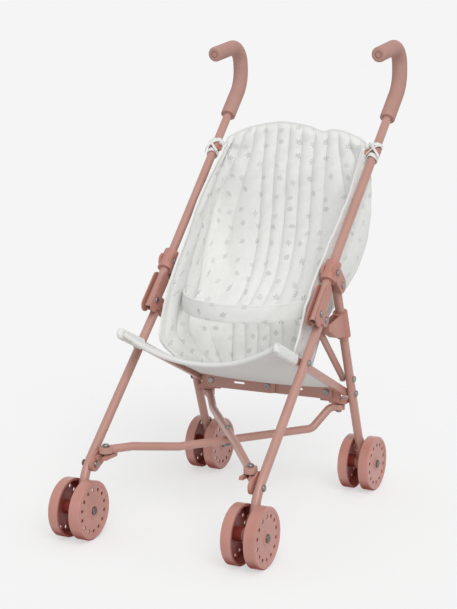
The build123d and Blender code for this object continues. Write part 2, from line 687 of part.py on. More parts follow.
shelf_top = CROSS_REAR_Z + CROSS_D / 2 + GAP + SHELF_T
jaw_under = CROSS_FRONT_Z - CROSS_D / 2 - GAP - JAW_T
rear_pin = upright_pin(Vector(*CROSS_REAR, 0), CROSS_REAR_Z - CROSS_D / 2 - GAP, shelf_top)
front_pin = upright_pin(Vector(*CROSS_FRONT, 0), jaw_under - GAP, CROSS_FRONT_Z + CROSS_D / 2)
middle_pin = upright_pin(cross_centre(), CROSS_LOWER_Z - CROSS_D / 2 - GAP, CROSS_UPPER_Z + CROSS_D / 2)
save(cross_tube(CROSS_UPPER_Z), "cross_tube_upper")
save(mirror(cross_tube(CROSS_LOWER_Z), about=Plane.YZ), "cross_tube_lower")
save_pair(rear_pin, "cross_rear_pin")
save_pair(front_pin, "cross_front_pin")
save(middle_pin, "cross_middle_pin")

cheek_back = SPREADER_FRONT_Y + 2 * SPREADER_T + 2 * GAP + CHEEK_T
right_bar_y = SPREADER_FRONT_Y + SPREADER_T + GAP
save(spreader_bar(-1), "spreader_bar_left")
save(spreader_bar(1), "spreader_bar_right")
save(rivet_y(-SPREADER_PIN[0], SPREADER_FRONT_Y, cheek_back, SPREADER_PIN[1]), "spreader_pin_left")
save(rivet_y(SPREADER_PIN[0], right_bar_y, cheek_back, SPREADER_PIN[1]), "spreader_pin_right")

save(rivet_y(0, SPREADER_FRONT_Y, SPREADER_FRONT_Y + SPREADER_T, SPREADER_PIN[1]), "spreader_rivet")

save(seat_base(), "seat_base")
save(seat_back(), "seat_back")
save(lap_belt(), "lap_belt")
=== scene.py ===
import math

import bpy
from mathutils import Matrix, Vector


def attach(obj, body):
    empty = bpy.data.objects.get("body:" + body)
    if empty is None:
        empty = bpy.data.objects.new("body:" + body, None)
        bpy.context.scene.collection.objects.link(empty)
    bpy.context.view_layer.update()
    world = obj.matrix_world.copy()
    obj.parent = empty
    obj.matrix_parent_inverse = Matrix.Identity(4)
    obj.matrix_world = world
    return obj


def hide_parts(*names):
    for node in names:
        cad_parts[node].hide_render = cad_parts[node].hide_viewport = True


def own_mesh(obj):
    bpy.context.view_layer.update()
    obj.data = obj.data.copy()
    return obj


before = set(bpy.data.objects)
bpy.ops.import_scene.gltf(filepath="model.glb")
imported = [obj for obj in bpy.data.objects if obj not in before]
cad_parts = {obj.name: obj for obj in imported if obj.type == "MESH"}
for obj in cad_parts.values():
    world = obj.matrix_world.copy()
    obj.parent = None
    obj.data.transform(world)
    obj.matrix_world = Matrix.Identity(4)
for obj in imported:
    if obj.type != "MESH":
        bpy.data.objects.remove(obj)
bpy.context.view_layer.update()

# Doll stroller with an umbrella fold, in metres: X across, Y to the rear, Z up.

# Camera of the photograph
CAMERA_PLACE = Vector((0.78405, -1.61391, 0.55691))
CAMERA_BACK = Vector((0.4412, -0.8813, 0.1692))
CAMERA_LENS = 87.87
CAMERA_SENSOR = 36.0

# Colours
ROSE_PAINT = (0.498, 0.267, 0.219, 1)
ROSE_PAINT_DEEP = (0.414, 0.203, 0.163, 1)
ROSE_PLASTIC = (0.500, 0.235, 0.190, 1)
ROSE_PLASTIC_DEEP = (0.400, 0.165, 0.128, 1)
ROSE_WHEEL = (0.520, 0.242, 0.198, 1)
ROSE_WHEEL_DEEP = (0.390, 0.156, 0.122, 1)
# Painted shade colour for the hollows of the wheels
WHEEL_HOLLOW_PAINTED_SHADE = (0.290, 0.050, 0.036, 1)
ROSE_GRIP = (0.470, 0.265, 0.222, 1)
ROSE_GRIP_DEEP = (0.390, 0.205, 0.168, 1)
STEEL = (0.360, 0.350, 0.340, 1)
STEEL_DULL = (0.190, 0.182, 0.176, 1)
AXLE_STEEL = (0.210, 0.180, 0.160, 1)
AXLE_STEEL_DULL = (0.110, 0.092, 0.082, 1)
COTTON = (0.830, 0.835, 0.815, 1)
COTTON_SHADE = (0.750, 0.755, 0.735, 1)
SPRIG_GREY = (0.330, 0.335, 0.330, 1)
# Painted shade in the creases along the sewn lines
SEAM_CREASE_PAINTED_SHADE = (0.560, 0.560, 0.540, 1)
THREAD = (0.720, 0.720, 0.700, 1)
# Plain cloth of the seat's underside, darker as painted shade
PLAIN_UNDERSIDE_PAINTED_SHADE = (0.690, 0.690, 0.670, 1)
BACKGROUND = (0.913, 0.913, 0.913, 1)
FLOOR = (0.985, 0.985, 0.985, 1)

# Seat back: height, half width at the wings' front and at the back, wing front, back face, corner rounding
BACK_LEVELS = (
    (0.140, 0.0620, 0.0600, 0.028, 0.053, 0.020),
    (0.178, 0.0820, 0.0810, -0.026, 0.054, 0.040),
    (0.205, 0.0910, 0.0900, -0.054, 0.055, 0.048),
    (0.228, 0.0935, 0.0940, -0.047, 0.0575, 0.044),
    (0.244, 0.0945, 0.0960, -0.040, 0.082, 0.040),
    (0.266, 0.0955, 0.1000, -0.028, 0.107, 0.034),
    (0.288, 0.0960, 0.1075, -0.009, 0.120, 0.028),
    (0.316, 0.0975, 0.1120, 0.018, 0.131, 0.022),
    (0.358, 0.1015, 0.1130, 0.058, 0.139, 0.017),
    (0.398, 0.1015, 0.1085, 0.097, 0.143, 0.014),
    (0.436, 0.0950, 0.0980, 0.1335, 0.149, 0.010),
    (0.464, 0.0800, 0.0800, 0.140, 0.152, 0.008),
)
# Upper edge: run from the middle round to a wing's front, in parts of the whole, and height
BACK_TOP_MIDDLE = 0.4618
BACK_TOP_LEFT = (
    (0.00, BACK_TOP_MIDDLE),
    (0.22, 0.4636),
    (0.40, 0.4622),
    (0.55, 0.4592),
    (0.70, 0.4548),
    (0.86, 0.4462),
    (1.00, 0.4365),
)
BACK_TOP_RIGHT = (
    (0.00, BACK_TOP_MIDDLE),
    (0.18, 0.4590),
    (0.32, 0.4536),
    (0.37, 0.4524),
    (0.50, 0.4552),
    (0.66, 0.4530),
    (0.86, 0.4432),
    (1.00, 0.4340),
)
# The widths close in steeply below the upper edge
BACK_TOP_STEEP = 2.4
# The flat of the back bows forward between its lower and upper end
BACK_BOW = -0.003
BOW_START = 0.19
BOW_RISE = 0.10
BOW_FALL = 0.06
BACK_ROWS = 84
BACK_ROW_CROWDING = 1.25
PANEL_HALF = 0.044
PANEL_CHANNELS = 2.5
SIDE_CHANNELS = 4
CHANNEL_COLUMNS = 12
HEM_COLUMNS = 4
HEM_W = 0.0085
# Largest shares of the hem in a wing's depth and of the middle panel in the whole run, and least depth
HEM_SHARE = 0.3
PANEL_SHARE = 0.5
WING_LEAST = 0.003
PAD_SEAM = 0.0028
PAD_PUFF = 0.0072
PAD_HEM = 0.0024
PUFF_ROUND = 0.72
PUFF_BEHIND = 0.22
NARROW_CHANNEL = 0.004
CHANNEL_GAIN = 0.012
BACK_RIPPLE = 0.0010
EDGE_RUN = 0.010
BINDING_R = 0.0014
# Folds that run out from the tied corners: their number in a turn, height, start and reach
TIE_CORNER = Vector((0.098, 0.136, 0.432))
PULL_FOLDS = 7
PULL_HEIGHT = 0.0013
PULL_START = 0.014
PULL_REACH = 0.042

# Seat sling between the rails
SLING_REAR = Vector((0.0, 0.046, 0.1500))
SLING_FRONT = Vector((0.0, -0.1290, 0.2262))
SLING_BEHIND = 0.014
SLING_HALF = 0.0964
SLING_SAG_REAR = 0.004
SLING_SAG_FRONT = 0.026
SLING_SAG_RUN = 1.15
SLING_ROUND = 2.2
SLING_T = 0.0034
SLING_ROWS = 48
SLING_COLUMNS = 64
SLING_RIM = 0.007
SLING_RIM_SWELL = 0.0016
SLING_FOLD = 0.0012
SLING_FRONT_SEAM = 0.010
SLING_SIDE_SEAM = 0.006
SLING_UNDERSIDE = -0.35
FRONT_CURVE = 0.004
FRONT_ROLL_R = 0.0031
FRONT_ROLL_DROP = 0.0008
SLING_LENGTH = (SLING_FRONT - SLING_REAR).length
SLING_FORWARD = (SLING_FRONT - SLING_REAR) / SLING_LENGTH
SLING_UP = Vector((0, SLING_FORWARD.z, -SLING_FORWARD.y))

# Cloth sleeves over the front ends of the rails
RAIL_MIDDLE = 0.1015
RAIL_TIP = Vector((0.0, -0.12865, 0.2258))
SLEEVE_RUN = 0.052
SLEEVE_HALF_W = 0.0043
SLEEVE_HALF_H = 0.0066
SLEEVE_T = 0.0009
SLEEVE_SEAM = 0.004
SLEEVE_SQUARE = 0.72
SLEEVE_GIRTH_R = 0.0065
SLEEVE_FLARE = 0.05
SLEEVE_END_SHARE = 0.02
SLEEVE_CREASE = 0.035
SLEEVE_ROWS = 28
SLEEVE_ROW_CROWDING = 1.6
SLEEVE_COLUMNS = 40

# Lap belt
BELT_HALF = 0.0868
BELT_END_Y = 0.006
BELT_BOW = 0.066
BELT_LOW = 0.240
BELT_HIGH = 0.262
BELT_T = 0.0022
BELT_DROOP = 0.0035
BELT_BULGE = 0.0009
BELT_UNEVEN = 0.0006
BELT_SEAM = 0.0022
BELT_EDGE_R = 0.0007
BELT_COLUMNS = 72
BELT_ROWS = 10

# Ties round the push tubes, with two points on the middle line of the right tube
TIE_LOW = Vector((0.1124, 0.1396, 0.4328))
TIE_HIGH = Vector((0.1126, 0.1459, 0.4392))
TIE_R = 0.0066
TIE_OVER_R = 0.0090
TIE_W = 0.0055
TIE_SPACING = 0.0190
TIE_STEPS = 44
# Thickness of the cloth in the turns, the crossings and the tails
TIE_TURN_T = 0.0011
TIE_CROSS_T = 0.0010
TIE_TAIL_T = 0.0009
# Lean of the upper and the lower turn
TIE_LEANS = (0.24, -0.22)
# Straps across the hanger: angles in degrees round the tube at the two ends, and places along the tube
TIE_CROSSINGS = ((-150, -20), (-20, -150))
CROSSING_LOW = -0.0185
CROSSING_HIGH = -0.001
CROSSING_LIFT = 0.0011
CROSSING_BULGE = 0.0006
CROSSING_LEAN = 0.45
CROSSING_NARROW = 0.85
CROSSING_STEPS = 20
# Tails below the knot: drop, and sway to the rear
TIE_TAILS = ((0.022, 0.002), (0.016, -0.007))
TAIL_STEPS = 12
# Knot: radius, angle in degrees round the tube, lift off the straps and drop along the tube
KNOT_R = 0.0032
KNOT_ANGLE = 200
KNOT_LIFT = 0.0012
KNOT_DROP = 0.004
KNOT_RIDGE = 0.16
KNOT_TWIST = 1400
STRAP_COLUMNS = 4
STRAP_SEAM = 0.38
STRAP_EDGE_R = 0.0003
TIE_AXIS = (TIE_HIGH - TIE_LOW).normalized()
TIE_UPPER = (TIE_LOW + TIE_HIGH) / 2
TIE_LOWER = TIE_UPPER - TIE_AXIS * TIE_SPACING
TIE_OUT = (Vector((1, 0, 0)) - TIE_AXIS * TIE_AXIS.x).normalized()
TIE_ROUND = TIE_AXIS.cross(TIE_OUT)

# Place of each cloth piece in the print and the weave, so that the pieces differ
BACK_PRINT = 0.3
SLING_PRINT = (0.6, 0.3)
SLEEVE_PRINT = 3.0
BELT_PRINT = (1.3, 0.2)
TIE_PRINT = 2.1

# Points nearer than this are one point
MERGE = 0.00001
# Rounds in which a height that depends on its own place settles
SETTLE_ROUNDS = 24
SETTLE_START = 0.17

# Studio floor, which fades out between two distances, and lights, with the key light's spread in degrees
FLOOR_SIZE = 8.0
FLOOR_DROP = 0.0004
FLOOR_FADE_START = 0.30
FLOOR_FADE_END = 1.1
FLOOR_CLEAR = 0.58
WORLD_LIGHT = 0.62
KEY_TOWARDS = (-0.52, 0.66, -0.74)
KEY_STRENGTH = 1.45
KEY_SPREAD = 40


def select_only(piece):
    """Make one piece the selected and active one."""
    if bpy.context.mode != "OBJECT":
        bpy.ops.object.mode_set(mode="OBJECT")
    bpy.ops.object.select_all(action="DESELECT")
    piece.select_set(True)
    bpy.context.view_layer.objects.active = piece


def apply_modifiers(piece):
    """Apply all modifiers of a piece in their order."""
    select_only(piece)
    for name in [modifier.name for modifier in piece.modifiers]:
        bpy.ops.object.modifier_apply(modifier=name)


def give_thickness(sheet, thickness, offset=0.0, edge_radius=None):
    """Turn one layer of cloth into a sheet with a thickness, its edges rounded where a radius is given."""
    solid = sheet.modifiers.new("cloth_thickness", "SOLIDIFY")
    solid.thickness = thickness
    solid.offset = offset
    if edge_radius:
        rounded = sheet.modifiers.new("soft_edge", "BEVEL")
        rounded.width = edge_radius
        rounded.segments = 2
        rounded.limit_method = "ANGLE"
    apply_modifiers(sheet)


def smooth(piece, angle=60):
    """Shade a piece smooth, apart from edges sharper than an angle in degrees."""
    select_only(piece)
    bpy.ops.object.shade_smooth_by_angle(angle=math.radians(angle))


def join(pieces):
    """Join pieces into the first of them."""
    select_only(pieces[0])
    for piece in pieces[1:]:
        piece.select_set(True)
    bpy.ops.object.join()
    return pieces[0]


def wobble(a, b, seed):
    """Small smooth unevenness of hand-sewn cloth, from -1 to 1."""
    first = math.sin(a * 2.1 + seed) * math.cos(b * 1.7 - seed * 0.6)
    second = math.sin(a * 4.3 - b * 3.1 + seed * 1.9)
    return 0.65 * first + 0.35 * second


def ease(t):
    """Soft step from 0 to 1."""
    t = min(max(t, 0.0), 1.0)
    return t * t * (3 - 2 * t)


def sling_place(s, v):
    """Middle of the seat sling: s runs from -1 to 1 between the rails, v from the rear to the front."""
    sag = SLING_SAG_REAR + (SLING_SAG_FRONT - SLING_SAG_REAR) * max(v, 0.0) ** SLING_SAG_RUN
    place = SLING_REAR.lerp(SLING_FRONT, v)
    return Vector((s * SLING_HALF, place.y, place.z - sag * (1 - abs(s) ** SLING_ROUND)))


def curve_through(rows, t, column=1, steep_end=None):
    """Value at t on a smooth curve through rows of t and values; a steep end shapes the last stretch."""
    k = 0
    while k < len(rows) - 2 and t > rows[k + 1][0]:
        k += 1
    start = rows[k]
    end = rows[k + 1]
    before = rows[max(k - 1, 0)]
    after = rows[min(k + 2, len(rows) - 1)]
    step = end[0] - start[0]
    share = (t - start[0]) / step
    leave = (end[column] - before[column]) / (end[0] - before[0]) * step
    arrive = (after[column] - start[column]) / (after[0] - start[0]) * step
    if steep_end and k == len(rows) - 2:
        leave = 0.0
        arrive = steep_end * (end[column] - start[column])
    rise = start[column] * (1 + 2 * share) * (1 - share) ** 2 + leave * share * (1 - share) ** 2
    return rise + end[column] * share * share * (3 - 2 * share) + arrive * share * share * (share - 1)


def level_at(z):
    """Widths, wing front, back face and corner rounding of the seat back at a height."""
    widths = [curve_through(BACK_LEVELS, z, column, BACK_TOP_STEEP) for column in (1, 2)]
    return widths + [curve_through(BACK_LEVELS, z, column) for column in (3, 4, 5)]


def back_columns():
    """Columns of the right half of the seat back, from the middle to the wing's front edge."""
    columns = []
    count = int(PANEL_CHANNELS * CHANNEL_COLUMNS)
    columns += [("panel", k / count) for k in range(count)]
    count = SIDE_CHANNELS * CHANNEL_COLUMNS
    columns += [("side", k / count) for k in range(count)]
    columns += [("hem", k / HEM_COLUMNS) for k in range(HEM_COLUMNS + 1)]
    return columns


def back_point(kind, t, z):
    """Place of one column at a height, the width of a channel there and the share of the run passed."""
    front_half, rear_half, wing_y, back_y, corner = level_at(z)
    corner = min(corner, back_y - wing_y - WING_LEAST)
    flat = rear_half - corner
    arc = corner * math.pi / 2
    start = Vector((rear_half, back_y - corner))
    end = Vector((front_half, wing_y))
    depth = (end - start).length
    whole = flat + arc + depth
    hem = min(HEM_W, HEM_SHARE * depth)
    panel = min(PANEL_HALF, PANEL_SHARE * whole)
    side = whole - hem - panel
    if kind == "panel":
        run = t * panel
        width = panel / PANEL_CHANNELS
    elif kind == "side":
        run = panel + t * side
        width = side / SIDE_CHANNELS
    else:
        run = whole - hem * (1 - t)
        width = hem
    if run < flat:
        bow = BACK_BOW * (1 - (run / flat) ** 2) * ease((z - BOW_START) / BOW_RISE)
        bow *= ease((BACK_TOP_MIDDLE - z) / BOW_FALL)
        return Vector((run, back_y + bow)), width, run / whole
    if run < flat + arc:
        angle = (run - flat) / corner
        x = flat + corner * math.sin(angle)
        y = back_y - corner + corner * math.cos(angle)
        return Vector((x, y)), width, run / whole
    return start.lerp(end, (run - flat - arc) / depth), width, run / whole


def back_top(side, kind, t):
    """Height of the seat back's upper edge: low arch, with an ear at the top of the right wing."""
    edge = BACK_TOP_LEFT if side < 0 else BACK_TOP_RIGHT
    z = BACK_TOP_MIDDLE
    for _ in range(SETTLE_ROUNDS):
        z = 0.5 * z + 0.5 * curve_through(edge, back_point(kind, t, z)[2])
    return z


def back_bottom(kind, t):
    """Height at which a column of the seat back meets the seat."""
    z = SETTLE_START
    for _ in range(SETTLE_ROUNDS):
        place = back_point(kind, t, z)[0]
        v = (SLING_REAR.y - place.y) / (SLING_REAR.y - SLING_FRONT.y)
        s = min(abs(place.x) / SLING_HALF, 1.0)
        z = 0.5 * z + 0.5 * (sling_place(s, v).z + SLING_T / 2)
    return max(z, BACK_LEVELS[0][0])


def cloth_mesh(name, cells, faces):
    """Mesh from (place, uv, distance to a sewn line) cells; the uv, in metres, follows the cloth."""
    mesh = bpy.data.meshes.new(name)
    mesh.from_pydata([tuple(place) for place, _, _ in cells], [], faces)
    layer = mesh.uv_layers.new(name="cloth")
    for loop in mesh.loops:
        layer.data[loop.index].uv = cells[loop.vertex_index][1]
    seam = mesh.attributes.new("seam_off", "FLOAT", "POINT")
    seam.data.foreach_set("value", [off for _, _, off in cells])
    piece = bpy.data.objects.new(name, mesh)
    bpy.context.scene.collection.objects.link(piece)
    return piece


def grid_faces(rows, width, closed=False):
    """Faces between rows of points, closed to a tube where asked."""
    faces = []
    for r in range(rows - 1):
        for c in range(width if closed else width - 1):
            d = (c + 1) % width
            faces.append((r * width + c, r * width + d, (r + 1) * width + d, (r + 1) * width + c))
    return faces


def sheet_mesh(name, rows, closed=False):
    """One layer of cloth from rows of cells."""
    cells = [cell for row in rows for cell in row]
    return cloth_mesh(name, cells, grid_faces(len(rows), len(rows[0]), closed))


def pad_mesh(name, outer_rows, inner_rows):
    """Closed pad from the rows of its two layers."""
    rows = [outer + list(reversed(inner)) for outer, inner in zip(outer_rows, inner_rows)]
    cells = [cell for row in rows for cell in row]
    width = len(rows[0])
    faces = grid_faces(len(rows), width, closed=True)
    for start in (0, (len(rows) - 1) * width):
        for c in range(width // 2 - 1):
            faces.append((start + c, start + c + 1, start + width - 2 - c, start + width - 1 - c))
    pad = cloth_mesh(name, cells, faces)
    outward_normals(pad)
    return pad


def hem_faces(piece, slot):
    """Give the faces beyond a hem's sewn line their own material slot."""
    mesh = piece.data
    off = [0.0] * len(mesh.vertices)
    mesh.attributes["seam_off"].data.foreach_get("value", off)
    for face in mesh.polygons:
        reach = [off[v] for v in face.vertices]
        if max(reach) < MERGE and min(reach) < -10 * MERGE:
            face.material_index = slot


def outward_normals(piece):
    """Merge double points and turn all faces outwards."""
    select_only(piece)
    bpy.ops.object.mode_set(mode="EDIT")
    bpy.ops.mesh.select_all(action="SELECT")
    bpy.ops.mesh.remove_doubles(threshold=MERGE)
    bpy.ops.mesh.normals_make_consistent(inside=False)
    bpy.ops.object.mode_set(mode="OBJECT")


def binding(name, points, radius):
    """Round cloth binding along a line, as a mesh with its own uv."""
    curve = bpy.data.curves.new(name, "CURVE")
    curve.dimensions = "3D"
    curve.bevel_depth = radius
    curve.bevel_resolution = 3
    curve.use_fill_caps = True
    spline = curve.splines.new("POLY")
    spline.points.add(len(points) - 1)
    for target, place in zip(spline.points, points):
        target.co = (*place, 1)
    piece = bpy.data.objects.new(name, curve)
    bpy.context.scene.collection.objects.link(piece)
    select_only(piece)
    bpy.ops.object.convert(target="MESH")
    piece = bpy.context.view_layer.objects.active
    mesh = piece.data
    while mesh.uv_layers:
        mesh.uv_layers.remove(mesh.uv_layers[0])
    layer = mesh.uv_layers.new(name="cloth")
    for loop in mesh.loops:
        place = mesh.vertices[loop.vertex_index].co
        layer.data[loop.index].uv = (place.x + place.y, place.z)
    return piece


def new_group(name, inputs, outputs):
    """Shader group with named sockets, and its two end nodes."""
    group = bpy.data.node_groups.new(name, "ShaderNodeTree")
    for label, kind, value in inputs:
        socket = group.interface.new_socket(label, in_out="INPUT", socket_type=kind)
        if value is not None:
            socket.default_value = value
    for label, kind in outputs:
        group.interface.new_socket(label, in_out="OUTPUT", socket_type=kind)
    source = group.nodes.new("NodeGroupInput")
    sink = group.nodes.new("NodeGroupOutput")
    return group, source, sink


def math_node(tree, operation, a, b=None):
    """Result of one sum on numbers or sockets."""
    node = tree.nodes.new("ShaderNodeMath")
    node.operation = operation
    for socket, value in zip(node.inputs, (a, b)):
        if value is None:
            continue
        if isinstance(value, (int, float)):
            socket.default_value = value
        else:
            tree.links.new(value, socket)
    return node.outputs[0]


def uneven_finish_group():
    """Soft unevenness and fine grain of a painted or moulded skin."""
    group, source, sink = new_group(
        "uneven_finish",
        [("Blotch Scale", "NodeSocketFloat", 30.0), ("Grain Scale", "NodeSocketFloat", 900.0)],
        [("Blotch", "NodeSocketFloat"), ("Grain", "NodeSocketFloat"), ("Height", "NodeSocketFloat")],
    )
    place = group.nodes.new("ShaderNodeTexCoord")
    blotch = group.nodes.new("ShaderNodeTexNoise")
    blotch.inputs["Detail"].default_value = 3.0
    blotch.inputs["Roughness"].default_value = 0.55
    grain = group.nodes.new("ShaderNodeTexNoise")
    grain.inputs["Detail"].default_value = 2.0
    links = group.links
    links.new(place.outputs["Object"], blotch.inputs["Vector"])
    links.new(place.outputs["Object"], grain.inputs["Vector"])
    links.new(source.outputs["Blotch Scale"], blotch.inputs["Scale"])
    links.new(source.outputs["Grain Scale"], grain.inputs["Scale"])
    spread = group.nodes.new("ShaderNodeMapRange")
    spread.inputs["From Min"].default_value = 0.32
    spread.inputs["From Max"].default_value = 0.68
    links.new(blotch.outputs["Fac"], spread.inputs["Value"])
    links.new(spread.outputs["Result"], sink.inputs["Blotch"])
    links.new(grain.outputs["Fac"], sink.inputs["Grain"])
    soft = math_node(group, "MULTIPLY", blotch.outputs["Fac"], 0.4)
    height = math_node(group, "ADD", soft, grain.outputs["Fac"])
    links.new(height, sink.inputs["Height"])
    return group


def weave_group():
    """Plain weave: crossing threads along the cloth's own uv."""
    group, source, sink = new_group(
        "plain_weave",
        [("Vector", "NodeSocketVector", None), ("Threads", "NodeSocketFloat", 1600.0)],
        [("Height", "NodeSocketFloat"), ("Slub", "NodeSocketFloat")],
    )
    links = group.links
    split = group.nodes.new("ShaderNodeSeparateXYZ")
    links.new(source.outputs["Vector"], split.inputs["Vector"])
    waves = []
    for axis in ("X", "Y"):
        turn = math_node(group, "MULTIPLY", split.outputs[axis], source.outputs["Threads"])
        waves.append(math_node(group, "SINE", math_node(group, "MULTIPLY", turn, math.pi)))
    both = math_node(group, "MULTIPLY", waves[0], waves[1])
    slub = group.nodes.new("ShaderNodeTexNoise")
    slub.inputs["Scale"].default_value = 140.0
    slub.inputs["Detail"].default_value = 4.0
    links.new(source.outputs["Vector"], slub.inputs["Vector"])
    height = math_node(group, "ADD", math_node(group, "MULTIPLY", both, 0.5), slub.outputs["Fac"])
    links.new(height, sink.inputs["Height"])
    links.new(slub.outputs["Fac"], sink.inputs["Slub"])
    return group


# Stitches to a metre, the share of each that shows, half width of a stitch and of the painted shade in the
# crease along it
STITCHES = 300.0
STITCH_SHOWN = 0.68
STITCH_HALF = 0.00026
GROOVE_HALF = 0.0022

# Leaves of one printed sprig: place, turn in degrees, half sizes, all in parts of the print's pitch
SPRIG_LEAVES = (
    ((0.000, 0.165), 0, (0.027, 0.090)),
    ((-0.084, 0.082), 50, (0.024, 0.084)),
    ((0.084, 0.082), -50, (0.024, 0.084)),
    ((-0.070, -0.040), 58, (0.020, 0.070)),
    ((0.070, -0.040), -58, (0.020, 0.070)),
    ((0.000, -0.050), 0, (0.010, 0.170)),
)


def sprig_group():
    """Scattered little sprigs, each turned its own way."""
    group, source, sink = new_group(
        "sprig_print",
        [("Vector", "NodeSocketVector", None), ("Pitch", "NodeSocketFloat", 45.0)],
        [("Mask", "NodeSocketFloat")],
    )
    links = group.links
    scaled = group.nodes.new("ShaderNodeVectorMath")
    scaled.operation = "SCALE"
    links.new(source.outputs["Vector"], scaled.inputs[0])
    links.new(source.outputs["Pitch"], scaled.inputs["Scale"])
    cells = group.nodes.new("ShaderNodeTexVoronoi")
    cells.voronoi_dimensions = "2D"
    cells.inputs["Scale"].default_value = 1.0
    cells.inputs["Randomness"].default_value = 0.62
    links.new(scaled.outputs["Vector"], cells.inputs["Vector"])
    local = group.nodes.new("ShaderNodeVectorMath")
    local.operation = "SUBTRACT"
    links.new(scaled.outputs["Vector"], local.inputs[0])
    links.new(cells.outputs["Position"], local.inputs[1])
    chance = group.nodes.new("ShaderNodeSeparateColor")
    links.new(cells.outputs["Color"], chance.inputs["Color"])
    turned = group.nodes.new("ShaderNodeVectorRotate")
    turned.rotation_type = "Z_AXIS"
    links.new(local.outputs["Vector"], turned.inputs["Vector"])
    links.new(math_node(group, "MULTIPLY", chance.outputs["Red"], 2 * math.pi), turned.inputs["Angle"])
    total = None
    for (x, y), degrees, (wide, tall) in SPRIG_LEAVES:
        leaf = group.nodes.new("ShaderNodeMapping")
        leaf.vector_type = "TEXTURE"
        leaf.inputs["Location"].default_value = (x, y, 0)
        leaf.inputs["Rotation"].default_value = (0, 0, math.radians(degrees))
        leaf.inputs["Scale"].default_value = (wide, tall, 1)
        links.new(turned.outputs["Vector"], leaf.inputs["Vector"])
        reach = group.nodes.new("ShaderNodeVectorMath")
        reach.operation = "LENGTH"
        links.new(leaf.outputs["Vector"], reach.inputs[0])
        edge = group.nodes.new("ShaderNodeMapRange")
        edge.inputs["From Min"].default_value = 1.25
        edge.inputs["From Max"].default_value = 0.75
        links.new(reach.outputs["Value"], edge.inputs["Value"])
        shown = edge.outputs["Result"]
        total = shown if total is None else math_node(group, "MAXIMUM", total, shown)
    strength = math_node(group, "ADD", math_node(group, "MULTIPLY", chance.outputs["Green"], 0.35), 0.45)
    links.new(math_node(group, "MULTIPLY", total, strength), sink.inputs["Mask"])
    return group


def sewn_line_group():
    """Little stitches along the sewn lines of the cloth, and a mask for the painted shade in the crease
    along them.
    """
    group, source, sink = new_group(
        "sewn_line",
        [("Off", "NodeSocketFloat", 1.0), ("Vector", "NodeSocketVector", None)],
        [("Mask", "NodeSocketFloat"), ("Groove", "NodeSocketFloat")],
    )
    links = group.links
    split = group.nodes.new("ShaderNodeSeparateXYZ")
    links.new(source.outputs["Vector"], split.inputs["Vector"])
    along = math_node(group, "ADD", split.outputs["X"], split.outputs["Y"])
    beat = math_node(group, "FRACT", math_node(group, "MULTIPLY", along, STITCHES))
    dash = math_node(group, "LESS_THAN", beat, STITCH_SHOWN)
    off = math_node(group, "ABSOLUTE", source.outputs["Off"])
    near = math_node(group, "LESS_THAN", off, STITCH_HALF)
    links.new(math_node(group, "MULTIPLY", near, dash), sink.inputs["Mask"])
    groove = group.nodes.new("ShaderNodeMapRange")
    groove.interpolation_type = "SMOOTHSTEP"
    groove.inputs["From Min"].default_value = GROOVE_HALF
    groove.inputs["From Max"].default_value = 0.0
    links.new(off, groove.inputs["Value"])
    links.new(groove.outputs["Result"], sink.inputs["Groove"])
    return group


UNEVEN_FINISH = uneven_finish_group()
PLAIN_WEAVE = weave_group()
SPRIG_PRINT = sprig_group()
SEWN_LINE = sewn_line_group()


def new_material(name):
    """Material with its node tree and shader."""
    material = bpy.data.materials.new(name)
    material.use_nodes = True
    tree = material.node_tree
    shader = tree.nodes["Principled BSDF"]
    return material, tree, shader


def group_node(tree, group, **values):
    """A shared group placed in a material with its own values."""
    node = tree.nodes.new("ShaderNodeGroup")
    node.node_tree = group
    for label, value in values.items():
        node.inputs[label.replace("_", " ")].default_value = value
    return node


# Colour sockets of a Mix node
MIX_FIRST = 6
MIX_SECOND = 7
MIX_RESULT = 2


def mix_colour(tree, factor, first, second):
    """Colour between two colours or sockets."""
    node = tree.nodes.new("ShaderNodeMix")
    node.data_type = "RGBA"
    tree.links.new(factor, node.inputs[0])
    for index, value in ((MIX_FIRST, first), (MIX_SECOND, second)):
        if isinstance(value, tuple):
            node.inputs[index].default_value = value
        else:
            tree.links.new(value, node.inputs[index])
    return node.outputs[MIX_RESULT]


def ranged(tree, value, low, high):
    """A value from 0 to 1 moved to another range."""
    node = tree.nodes.new("ShaderNodeMapRange")
    node.inputs["To Min"].default_value = low
    node.inputs["To Max"].default_value = high
    tree.links.new(value, node.inputs["Value"])
    return node.outputs["Result"]


def bump(tree, shader, height, strength, distance):
    """Fine relief of a finish."""
    node = tree.nodes.new("ShaderNodeBump")
    node.inputs["Strength"].default_value = strength
    node.inputs["Distance"].default_value = distance
    tree.links.new(height, node.inputs["Height"])
    tree.links.new(node.outputs["Normal"], shader.inputs["Normal"])


# Painted shade in the hollows of a wheel: reach of the occlusion that finds them, and the openness at which
# the painted shade is full and at which it ends
HOLLOW_REACH = 0.04
HOLLOW_DARK = 0.25
HOLLOW_CLEAR = 0.62


